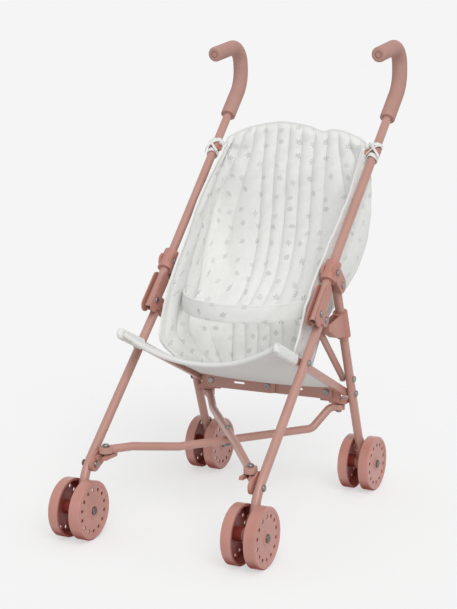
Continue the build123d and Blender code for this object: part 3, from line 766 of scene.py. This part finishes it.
def coloured_skin(name, light, deep, rough, blotch, grain, strength, coat=0.0, hollow_painted_shade=None):
    """Painted or moulded finish that varies softly; given a shade colour, its hollows are painted darker
    and less glossy, as painted shade.
    """
    material, tree, shader = new_material(name)
    finish = group_node(tree, UNEVEN_FINISH, Blotch_Scale=blotch, Grain_Scale=grain)
    colour = mix_colour(tree, ranged(tree, finish.outputs["Blotch"], 0.0, 0.45), light, deep)
    if hollow_painted_shade:
        hollow = tree.nodes.new("ShaderNodeAmbientOcclusion")
        hollow.inputs["Distance"].default_value = HOLLOW_REACH
        reach = tree.nodes.new("ShaderNodeMapRange")
        reach.inputs["From Min"].default_value = HOLLOW_DARK
        reach.inputs["From Max"].default_value = HOLLOW_CLEAR
        tree.links.new(hollow.outputs["AO"], reach.inputs["Value"])
        # Painted shade: where the occlusion finds a hollow, reflections fade and the colour turns to the
        # shade colour
        tree.links.new(ranged(tree, reach.outputs["Result"], 0.0, 0.5), shader.inputs["Specular IOR Level"])
        colour = mix_colour(tree, reach.outputs["Result"], hollow_painted_shade, colour)
    tree.links.new(colour, shader.inputs["Base Color"])
    tree.links.new(ranged(tree, finish.outputs["Grain"], rough[0], rough[1]), shader.inputs["Roughness"])
    bump(tree, shader, finish.outputs["Height"], strength, 0.0004)
    shader.inputs["Coat Weight"].default_value = coat
    shader.inputs["Coat Roughness"].default_value = 0.18
    return material


def steel_skin(name, light, dull):
    """Plated steel, dull in patches."""
    material, tree, shader = new_material(name)
    finish = group_node(tree, UNEVEN_FINISH, Blotch_Scale=260.0, Grain_Scale=2600.0)
    colour = mix_colour(tree, finish.outputs["Blotch"], light, dull)
    tree.links.new(colour, shader.inputs["Base Color"])
    tree.links.new(ranged(tree, finish.outputs["Grain"], 0.24, 0.46), shader.inputs["Roughness"])
    shader.inputs["Metallic"].default_value = 1.0
    bump(tree, shader, finish.outputs["Height"], 0.15, 0.0002)
    return material


def cloth_skin(name, light, shade, printed):
    """Pale cotton, with or without the printed sprigs, with painted shade in the creases along its sewn
    lines.
    """
    material, tree, shader = new_material(name)
    place = tree.nodes.new("ShaderNodeUVMap")
    place.uv_map = "cloth"
    weave = group_node(tree, PLAIN_WEAVE, Threads=1500.0)
    tree.links.new(place.outputs["UV"], weave.inputs["Vector"])
    colour = mix_colour(tree, ranged(tree, weave.outputs["Slub"], -0.3, 1.1), light, shade)
    if printed:
        sprigs = group_node(tree, SPRIG_PRINT, Pitch=44.0)
        tree.links.new(place.outputs["UV"], sprigs.inputs["Vector"])
        colour = mix_colour(tree, sprigs.outputs["Mask"], colour, SPRIG_GREY)
    seam = tree.nodes.new("ShaderNodeAttribute")
    seam.attribute_name = "seam_off"
    sewn = group_node(tree, SEWN_LINE)
    tree.links.new(seam.outputs["Fac"], sewn.inputs["Off"])
    tree.links.new(place.outputs["UV"], sewn.inputs["Vector"])
    # Painted shade in the crease along each sewn line
    colour = mix_colour(tree, ranged(tree, sewn.outputs["Groove"], 0.0, 0.10), colour, SEAM_CREASE_PAINTED_SHADE)
    colour = mix_colour(tree, sewn.outputs["Mask"], colour, THREAD)
    tree.links.new(colour, shader.inputs["Base Color"])
    tree.links.new(ranged(tree, weave.outputs["Slub"], 0.82, 0.96), shader.inputs["Roughness"])
    shader.inputs["Sheen Weight"].default_value = 0.18
    shader.inputs["Sheen Roughness"].default_value = 0.6
    shader.inputs["Specular IOR Level"].default_value = 0.25
    bump(tree, shader, weave.outputs["Height"], 0.22, 0.00025)
    return material


FRAME_PAINT = coloured_skin(
    "rose_tube_paint", ROSE_PAINT, ROSE_PAINT_DEEP,
    rough=(0.30, 0.46), blotch=22.0, grain=1500.0, strength=0.10, coat=0.25,
)
MOULDED_JOINT = coloured_skin(
    "rose_moulded_joint", ROSE_PLASTIC, ROSE_PLASTIC_DEEP,
    rough=(0.38, 0.56), blotch=40.0, grain=2200.0, strength=0.16,
)
# The wheels' hollows get painted shade
WHEEL_PLASTIC = coloured_skin(
    "rose_wheel_plastic", ROSE_WHEEL, ROSE_WHEEL_DEEP,
    rough=(0.26, 0.42), blotch=34.0, grain=1800.0, strength=0.08, coat=0.2, hollow_painted_shade=WHEEL_HOLLOW_PAINTED_SHADE,
)
GRIP_FOAM = coloured_skin(
    "rose_grip_foam", ROSE_GRIP, ROSE_GRIP_DEEP,
    rough=(0.62, 0.82), blotch=55.0, grain=1300.0, strength=0.45,
)
RIVET_STEEL = steel_skin("rivet_steel", STEEL, STEEL_DULL)
AXLE_METAL = steel_skin("axle_steel", AXLE_STEEL, AXLE_STEEL_DULL)
PRINTED_COTTON = cloth_skin("sprig_cotton", COTTON, COTTON_SHADE, True)
PLAIN_COTTON = cloth_skin("plain_cotton", COTTON, COTTON_SHADE, False)
# Plain cloth for the seat's underside, darker as painted shade
SEAT_UNDERSIDE_PAINTED_SHADE = cloth_skin("seat_underside_painted_shade", PLAIN_UNDERSIDE_PAINTED_SHADE, COTTON_SHADE, False)

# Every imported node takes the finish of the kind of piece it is
FINISH_OF_KIND = (
    ("grip", GRIP_FOAM),
    ("wheel", WHEEL_PLASTIC),
    ("axle", AXLE_METAL),
    ("pin", RIVET_STEEL),
    ("rivet", RIVET_STEEL),
    ("hub_block", MOULDED_JOINT),
    ("bracket", MOULDED_JOINT),
    ("clamp", MOULDED_JOINT),
    ("latch", MOULDED_JOINT),
    ("hanger", MOULDED_JOINT),
    ("seat_base", SEAT_UNDERSIDE_PAINTED_SHADE),
    ("seat_back", PRINTED_COTTON),
    ("lap_belt", PRINTED_COTTON),
    ("seat_tie", PLAIN_COTTON),
    ("", FRAME_PAINT),
)
for node_name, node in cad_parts.items():
    finish = next(skin for kind, skin in FINISH_OF_KIND if kind in node_name)
    node.data.materials.clear()
    node.data.materials.append(finish)


def corner_pull(place):
    """Small folds that run out from the tied corners."""
    away = Vector((abs(place.x), place.y, place.z)) - TIE_CORNER
    reach = away.length
    angle = math.atan2(away.z, away.y - 1.6 * away.x)
    height = PULL_HEIGHT * math.sin(PULL_FOLDS * angle)
    return height * ease(reach / PULL_START) * math.exp(-(reach / PULL_REACH) ** 2)


def channel_phase(kind, t):
    """Number of channels passed; a whole number is a sewn line. The middle of the back is mid-channel."""
    return t * PANEL_CHANNELS + 0.5 if kind == "panel" else t * SIDE_CHANNELS


def seam_distance(kind, t, width):
    """Distance to the nearest sewn line, below zero in the hem."""
    if kind == "hem":
        return -width * t
    across = channel_phase(kind, t) % 1.0
    return width * min(across, 1 - across)


def back_puff(kind, t, width):
    """Share of the filling across a channel; narrow channels hold less."""
    if kind == "hem":
        return 0.0
    full = ease((width - NARROW_CHANNEL) / CHANNEL_GAIN)
    return full * abs(math.sin(math.pi * channel_phase(kind, t))) ** PUFF_ROUND


def back_columns_both_sides():
    """Columns from the left wing to the right one, each with its lower and upper height."""
    half = back_columns()
    both = [(-1, *column) for column in reversed(half[1:])] + [(1, *column) for column in half]
    return [(side, kind, t, back_bottom(kind, t), back_top(side, kind, t)) for side, kind, t in both]


def back_ground(columns):
    """Rows of the unfilled seat back: place, run across, channel width and distance to the nearer end."""
    ground = []
    for r in range(BACK_ROWS + 1):
        v = 1 - (1 - r / BACK_ROWS) ** BACK_ROW_CROWDING
        row = []
        run = 0.0
        for k, (side, kind, t, low, high) in enumerate(columns):
            z = low + (high - low) * v
            place, width, _ = back_point(kind, t, z)
            place = Vector((side * place.x, place.y, z))
            if k:
                run += math.hypot(place.x - row[-1][0].x, place.y - row[-1][0].y)
            row.append((place, run, width, min(z - low, high - z)))
        ground.append(row)
    return ground


def back_layers(columns, ground):
    """Rows of the outer and the inner layer, with the filling between them."""
    outer_rows = []
    inner_rows = []
    for r, row in enumerate(ground):
        outer = []
        inner = []
        lower = ground[max(r - 1, 0)]
        upper = ground[min(r + 1, BACK_ROWS)]
        middle_run = row[len(row) // 2][1]
        for k, (place, run, width, edge) in enumerate(row):
            kind, t = columns[k][1:3]
            across = row[min(k + 1, len(row) - 1)][0] - row[max(k - 1, 0)][0]
            inward = across.cross(upper[k][0] - lower[k][0]).normalized()
            fill = ease(edge / EDGE_RUN)
            puff = back_puff(kind, t, width) * fill * (0.92 + 0.16 * wobble(run * 38, place.z * 30, 1.3))
            thick = PAD_HEM + fill * (PAD_SEAM - PAD_HEM) + (PAD_PUFF - PAD_SEAM) * puff
            ripple = BACK_RIPPLE * wobble(run * 42, place.z * 30, 0.4) * fill + corner_pull(place)
            middle = place + inward * ripple
            uv = (run - middle_run + BACK_PRINT, place.z * 1.06)
            seam = seam_distance(kind, t, width)
            outer.append((middle - inward * PUFF_BEHIND * (PAD_PUFF - PAD_SEAM) * puff, uv, seam))
            inner.append((middle + inward * thick, uv, seam))
        outer_rows.append(outer)
        inner_rows.append(inner)
    return outer_rows, inner_rows


def make_seat_back():
    """Quilted bucket back, sewn in channels all round, with a plain hem down each wing."""
    columns = back_columns_both_sides()
    outer_rows, inner_rows = back_layers(columns, back_ground(columns))
    shell = pad_mesh("seat_back_quilt", outer_rows, inner_rows)
    shell.data.materials.append(PRINTED_COTTON)
    shell.data.materials.append(PLAIN_COTTON)
    hem_faces(shell, 1)
    border = [(a[0] + b[0]) / 2 for a, b in zip(outer_rows[-1], inner_rows[-1])]
    edge = binding("seat_back_binding", border, BINDING_R)
    edge.data.materials.append(PLAIN_COTTON)
    return join([shell, edge])


seat_back = make_seat_back()
smooth(seat_back)
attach(seat_back, "left_frame")
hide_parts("seat_back")
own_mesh(seat_back)


def make_seat_sling():
    """Padded cloth slung between the rails, rolled at the front, printed above, and plain below in a darker
    grey that is painted shade.
    """
    behind = SLING_BEHIND / SLING_LENGTH
    upper = []
    lower = []
    for r in range(SLING_ROWS + 1):
        v = (r / SLING_ROWS) * (1 + behind) - behind
        top = []
        bottom = []
        for c in range(SLING_COLUMNS + 1):
            s = 2 * c / SLING_COLUMNS - 1
            pull = FRONT_CURVE * (1 - s * s) * ease((v - 0.75) / 0.25)
            fold = SLING_FOLD * wobble(s * 5.0, v * 7.0, 2.2) * (1 - abs(s))
            fold *= math.sin(math.pi * max(v, 0.0))
            place = sling_place(s, v) - SLING_FORWARD * pull + SLING_UP * fold
            side_rim = (1 - abs(s)) * SLING_HALF
            front_rim = (1 - v) * SLING_LENGTH
            rim = min(side_rim, front_rim) / SLING_RIM
            swell = SLING_RIM_SWELL * math.exp(-((rim - 0.45) / 0.35) ** 2)
            thick = SLING_T * (0.62 + 0.38 * ease(rim)) + swell
            seam = min(abs(front_rim - SLING_FRONT_SEAM), abs(side_rim - SLING_SIDE_SEAM))
            uv = (s * SLING_HALF * 1.05 + SLING_PRINT[0], v * SLING_LENGTH + SLING_PRINT[1])
            top.append((place + SLING_UP * thick / 2, uv, seam))
            bottom.append((place - SLING_UP * thick / 2, uv, seam))
        upper.append(top)
        lower.append(bottom)
    sling = pad_mesh("seat_sling", upper, lower)
    mesh = sling.data
    mesh.materials.append(PRINTED_COTTON)
    mesh.materials.append(SEAT_UNDERSIDE_PAINTED_SHADE)
    # Faces that look downwards take the plain cloth darkened as painted shade
    for face in mesh.polygons:
        if face.normal.dot(SLING_UP) < SLING_UNDERSIDE:
            face.material_index = 1
    front = [(a[0] + b[0]) / 2 - SLING_UP * FRONT_ROLL_DROP for a, b in zip(upper[-1], lower[-1])]
    roll = binding("seat_front_roll", front, FRONT_ROLL_R)
    roll.data.materials.append(PRINTED_COTTON)
    return join([sling, roll])


seat_sling = make_seat_sling()
smooth(seat_sling)
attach(seat_sling, "left_frame")
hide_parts("seat_base")
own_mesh(seat_sling)


def squared(turn):
    """A sine or cosine drawn out towards a rectangle with round corners."""
    return math.copysign(abs(turn) ** SLEEVE_SQUARE, turn)


def close_end(piece, count):
    """Close the end of a sleeve over its last points."""
    select_only(piece)
    bpy.ops.object.mode_set(mode="EDIT")
    bpy.ops.mesh.select_all(action="DESELECT")
    bpy.ops.object.mode_set(mode="OBJECT")
    for vertex in piece.data.vertices[-count:]:
        vertex.select = True
    bpy.ops.object.mode_set(mode="EDIT")
    bpy.ops.mesh.select_mode(type="VERT")
    bpy.ops.mesh.edge_face_add()
    bpy.ops.object.mode_set(mode="OBJECT")


def make_sleeve(name, side):
    """Cloth sleeve sewn round the front end of one rail, closed by a round end."""
    rows = []
    whole = SLEEVE_RUN + SLEEVE_HALF_H
    tip = 1 - SLEEVE_HALF_H / whole
    for r in range(SLEEVE_ROWS + 1):
        v = 1 - (1 - r / SLEEVE_ROWS) ** SLEEVE_ROW_CROWDING
        close = math.sqrt(max(1 - (max(v - tip, 0.0) / (1 - tip)) ** 2, SLEEVE_END_SHARE ** 2))
        mouth = 1 + SLEEVE_FLARE * math.exp(-(v / 0.05) ** 2)
        middle = RAIL_TIP + SLING_FORWARD * (SLEEVE_HALF_H - whole * (1 - v))
        middle.x = side * RAIL_MIDDLE
        row = []
        for c in range(SLEEVE_COLUMNS):
            angle = 2 * math.pi * c / SLEEVE_COLUMNS
            crease = 1 + SLEEVE_CREASE * math.sin(3 * angle + 26 * v) * math.sin(math.pi * v)
            wide = squared(math.cos(angle)) * SLEEVE_HALF_W
            tall = squared(math.sin(angle)) * SLEEVE_HALF_H * crease
            place = middle + (Vector((wide, 0, 0)) + SLING_UP * tall) * close * mouth
            uv = (angle * SLEEVE_GIRTH_R + SLEEVE_PRINT + side, whole * v)
            row.append((place, uv, abs(whole * v - SLEEVE_SEAM)))
        rows.append(row)
    sleeve = sheet_mesh(name, rows, closed=True)
    close_end(sleeve, SLEEVE_COLUMNS)
    outward_normals(sleeve)
    give_thickness(sleeve, SLEEVE_T, offset=-1.0)
    sleeve.data.materials.append(PRINTED_COTTON)
    return sleeve


for side_name, side in (("left", -1), ("right", 1)):
    sleeve = make_sleeve("seat_sleeve_" + side_name, side)
    smooth(sleeve, 50)
    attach(sleeve, side_name + "_frame")


def make_lap_belt():
    """Flat cloth belt bowed forward between the wings."""
    radius = (BELT_HALF ** 2 + BELT_BOW ** 2) / (2 * BELT_BOW)
    centre_y = BELT_END_Y - BELT_BOW + radius
    swing = 2 * math.atan2(BELT_BOW, BELT_HALF)
    rows = []
    for r in range(BELT_ROWS + 1):
        t = r / BELT_ROWS
        row = []
        for c in range(BELT_COLUMNS + 1):
            s = 2 * c / BELT_COLUMNS - 1
            angle = s * swing
            droop = BELT_DROOP * math.cos(s * math.pi / 2)
            bulge = BELT_BULGE * math.sin(math.pi * t) + BELT_UNEVEN * wobble(s * 6, t * 2, 3.1)
            x = (radius + bulge) * math.sin(angle)
            y = centre_y - (radius + bulge) * math.cos(angle)
            z = BELT_LOW + (BELT_HIGH - BELT_LOW) * t - droop
            seam = min(t, 1 - t) * (BELT_HIGH - BELT_LOW) - BELT_SEAM
            uv = (angle * radius + BELT_PRINT[0], z + BELT_PRINT[1])
            row.append((Vector((x, y, z)), uv, abs(seam)))
        rows.append(row)
    belt = sheet_mesh("lap_belt_band", rows)
    outward_normals(belt)
    give_thickness(belt, BELT_T, edge_radius=BELT_EDGE_R)
    belt.data.materials.append(PRINTED_COTTON)
    return belt, 2 * swing * radius


lap_belt, belt_length = make_lap_belt()
smooth(lap_belt, 40)
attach(lap_belt, "left_frame")
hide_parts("lap_belt")
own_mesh(lap_belt)


def strap(path, widths, thick, number):
    """Flat cloth strap along points, its width lying along the given directions."""
    rows = []
    run = 0.0
    for k, (place, wide) in enumerate(zip(path, widths)):
        if k:
            run += (place - path[k - 1]).length
        row = []
        for c in range(STRAP_COLUMNS + 1):
            s = c / STRAP_COLUMNS - 0.5
            uv = (s * wide.length + TIE_PRINT + number, run)
            row.append((place + wide * s, uv, abs(abs(s) - STRAP_SEAM) * wide.length))
        rows.append(row)
    piece = sheet_mesh("tie_strap", rows)
    give_thickness(piece, thick, edge_radius=STRAP_EDGE_R)
    return piece


def on_tube(middle, angle, radius, rise):
    """Place round the right push tube and along it."""
    return middle + (TIE_OUT * math.cos(angle) + TIE_ROUND * math.sin(angle)) * radius + TIE_AXIS * rise


def tie_turns():
    """One turn round the tube above the hanger and one below it."""
    turns = []
    for number, (middle, lean) in enumerate(zip((TIE_UPPER, TIE_LOWER), TIE_LEANS)):
        path = []
        for k in range(TIE_STEPS + 1):
            angle = 2 * math.pi * k / TIE_STEPS + math.pi
            radius = TIE_R + 0.0002 * math.sin(3 * angle + number) + 0.0005 * k / TIE_STEPS
            path.append(on_tube(middle, angle, radius, lean * TIE_R * math.sin(angle + 0.6)))
        turns.append(strap(path, [TIE_AXIS * TIE_W] * len(path), TIE_TURN_T, number))
    return turns


def tie_crossings():
    """Two straps that cross each other over the hanger."""
    crossings = []
    for number, (start, end) in enumerate(TIE_CROSSINGS):
        lean = CROSSING_LEAN * (1 - 2 * number)
        wide = (TIE_AXIS + TIE_ROUND * lean).normalized() * TIE_W * CROSSING_NARROW
        path = []
        for k in range(CROSSING_STEPS + 1):
            t = k / CROSSING_STEPS
            angle = math.radians(start + (end - start) * t)
            rise = CROSSING_LOW + (CROSSING_HIGH - CROSSING_LOW) * ease(t)
            radius = TIE_OVER_R + CROSSING_LIFT * number + CROSSING_BULGE * math.sin(math.pi * t)
            path.append(on_tube(TIE_UPPER, angle, radius, rise))
        crossings.append(strap(path, [wide] * len(path), TIE_CROSS_T, 3 + number))
    return crossings


def tie_tails(knot_place):
    """Two loose ends that hang from the knot."""
    tails = []
    for number, (drop, sway) in enumerate(TIE_TAILS):
        path = []
        widths = []
        for k in range(TAIL_STEPS + 1):
            t = k / TAIL_STEPS
            x = -0.004 * math.sin(2.2 * t) - 0.002 * t
            path.append(knot_place + Vector((x, sway * t, -drop * t ** 1.25)))
            across = Vector((0.25, 1.0, 0.15 * math.sin(5 * t))).normalized()
            widths.append(across * TIE_W * (0.62 + 0.3 * t))
        tails.append(strap(path, widths, TIE_TAIL_T, 6 + number))
    return tails


def tie_knot(knot_place):
    """Small wound knot, from a ball with three twisted ridges."""
    bpy.ops.object.select_all(action="DESELECT")
    bpy.ops.mesh.primitive_uv_sphere_add(segments=20, ring_count=12, radius=KNOT_R, location=knot_place)
    knot = bpy.context.view_layer.objects.active
    bpy.ops.object.transform_apply(location=True, rotation=True, scale=True)
    for vertex in knot.data.vertices:
        away = vertex.co - knot_place
        turn = math.atan2(away.y, away.x)
        vertex.co = knot_place + away * (1 + KNOT_RIDGE * math.sin(3 * turn + away.z * KNOT_TWIST))
    knot.data.uv_layers[0].name = "cloth"
    seam = knot.data.attributes.new("seam_off", "FLOAT", "POINT")
    seam.data.foreach_set("value", [0.02] * len(knot.data.vertices))
    return knot


def make_tie(name, side):
    """Cloth tie: turns round the push tube above and below the hanger, crossed, a knot and two tails."""
    knot_place = on_tube(TIE_UPPER, math.radians(KNOT_ANGLE), TIE_OVER_R + KNOT_LIFT, -KNOT_DROP)
    tie = join(tie_turns() + tie_crossings() + tie_tails(knot_place) + [tie_knot(knot_place)])
    tie.name = name
    if side < 0:
        tie.data.transform(Matrix.Scale(-1, 4, Vector((1, 0, 0))))
    outward_normals(tie)
    tie.data.materials.clear()
    tie.data.materials.append(PLAIN_COTTON)
    return tie


for side_name, side in (("left", -1), ("right", 1)):
    tie = make_tie("seat_tie_knot_" + side_name, side)
    smooth(tie, 50)
    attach(tie, side_name + "_frame")
    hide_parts("seat_tie_" + side_name)


def make_floor():
    """Pale floor that fades into the plain background."""
    bpy.ops.object.select_all(action="DESELECT")
    bpy.ops.mesh.primitive_plane_add(size=FLOOR_SIZE, location=(0, 0, -FLOOR_DROP))
    floor = bpy.context.view_layer.objects.active
    floor.name = "studio_floor"
    material, tree, shader = new_material("studio_floor")
    shader.inputs["Base Color"].default_value = FLOOR
    shader.inputs["Roughness"].default_value = 0.9
    shader.inputs["Specular IOR Level"].default_value = 0.0
    clear = tree.nodes.new("ShaderNodeBsdfTransparent")
    mix = tree.nodes.new("ShaderNodeMixShader")
    place = tree.nodes.new("ShaderNodeTexCoord")
    reach = tree.nodes.new("ShaderNodeVectorMath")
    reach.operation = "LENGTH"
    fade = tree.nodes.new("ShaderNodeMapRange")
    fade.interpolation_type = "SMOOTHSTEP"
    fade.inputs["From Min"].default_value = FLOOR_FADE_START
    fade.inputs["From Max"].default_value = FLOOR_FADE_END
    fade.inputs["To Min"].default_value = FLOOR_CLEAR
    tree.links.new(place.outputs["Object"], reach.inputs[0])
    tree.links.new(reach.outputs["Value"], fade.inputs["Value"])
    tree.links.new(fade.outputs["Result"], mix.inputs["Fac"])
    tree.links.new(shader.outputs["BSDF"], mix.inputs[1])
    tree.links.new(clear.outputs["BSDF"], mix.inputs[2])
    tree.links.new(mix.outputs["Shader"], tree.nodes["Material Output"].inputs["Surface"])
    floor.data.materials.append(material)


def make_world():
    """Even pale light, with a plain background where the camera or a gloss looks at it."""
    world = bpy.data.worlds.new("studio_light")
    world.use_nodes = True
    tree = world.node_tree
    light = tree.nodes["Background"]
    light.inputs["Color"].default_value = (1, 1, 1, 1)
    light.inputs["Strength"].default_value = WORLD_LIGHT
    shown = tree.nodes.new("ShaderNodeBackground")
    shown.inputs["Color"].default_value = BACKGROUND
    shown.inputs["Strength"].default_value = 1.0
    path = tree.nodes.new("ShaderNodeLightPath")
    seen = math_node(tree, "MAXIMUM", path.outputs["Is Camera Ray"], path.outputs["Is Glossy Ray"])
    seen = math_node(tree, "MAXIMUM", seen, path.outputs["Is Transmission Ray"])
    mix = tree.nodes.new("ShaderNodeMixShader")
    tree.links.new(seen, mix.inputs["Fac"])
    tree.links.new(light.outputs["Background"], mix.inputs[1])
    tree.links.new(shown.outputs["Background"], mix.inputs[2])
    tree.links.new(mix.outputs["Shader"], tree.nodes["World Output"].inputs["Surface"])
    bpy.context.scene.world = world


def make_sun(name, towards, strength, spread):
    """Broad distant lamp."""
    lamp = bpy.data.lights.new(name, "SUN")
    lamp.energy = strength
    lamp.angle = math.radians(spread)
    sun = bpy.data.objects.new(name, lamp)
    sun.rotation_euler = Vector(towards).to_track_quat("-Z", "Y").to_euler()
    bpy.context.scene.collection.objects.link(sun)


def make_camera():
    """Camera at the place the photograph was taken from."""
    lens = bpy.data.cameras.new("photo_camera")
    lens.lens = CAMERA_LENS
    lens.sensor_width = CAMERA_SENSOR
    lens.sensor_fit = "AUTO"
    lens.clip_start = 0.01
    camera = bpy.data.objects.new("photo_camera", lens)
    camera.location = CAMERA_PLACE
    camera.rotation_euler = (-CAMERA_BACK).to_track_quat("-Z", "Y").to_euler()
    bpy.context.scene.collection.objects.link(camera)
    bpy.context.scene.camera = camera


make_floor()
make_world()
make_sun("key_light", KEY_TOWARDS, KEY_STRENGTH, KEY_SPREAD)
make_camera()
bpy.context.scene.view_settings.view_transform = "Standard"
